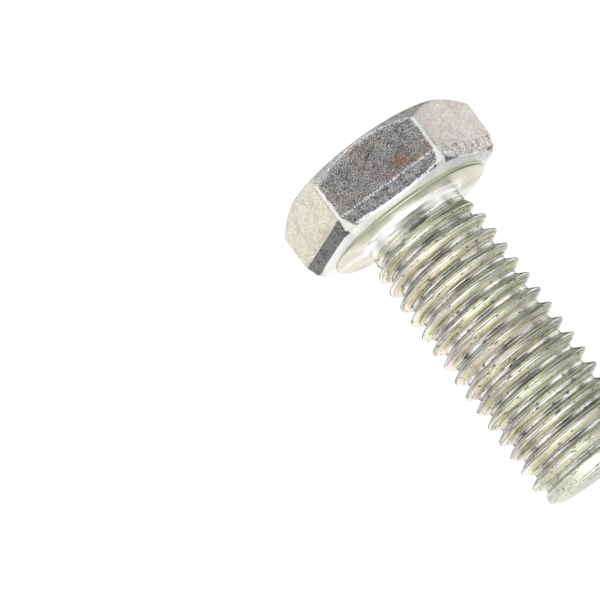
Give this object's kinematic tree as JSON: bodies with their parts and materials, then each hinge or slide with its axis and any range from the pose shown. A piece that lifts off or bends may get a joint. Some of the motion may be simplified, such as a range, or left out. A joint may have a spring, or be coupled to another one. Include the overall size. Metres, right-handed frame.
{
  "type": "hex bolt",
  "caption": "Fully threaded zinc-plated hex bolt with a chamfered head, raised bearing ring, short plain neck, right-hand coarse thread and blunt point; clamps parts with a nut.",
  "frame": {"origin": "on the bolt's axis, at the flat top of the head, which it stands on", "axes": "+Z along the shank from the head to the point; a flat of the head faces -Y and two corners of it lie on +X and -X"},
  "size_m": [0.0216, 0.019, 0.0373],
  "materials": {
    "zinc_head": "satin",
    "zinc_ring": "satin",
    "zinc_neck": "satin",
    "zinc_root": "satin",
    "zinc_thread": "satin",
    "zinc_point": "matte"
  },
  "bodies": {
    "root": {"hex_head": "zinc_head", "washer_face": "zinc_ring", "neck": "zinc_neck", "thread_core": "zinc_root", "thread_ridge": "zinc_thread", "point": "zinc_point"}
  },
  "joints": []
}
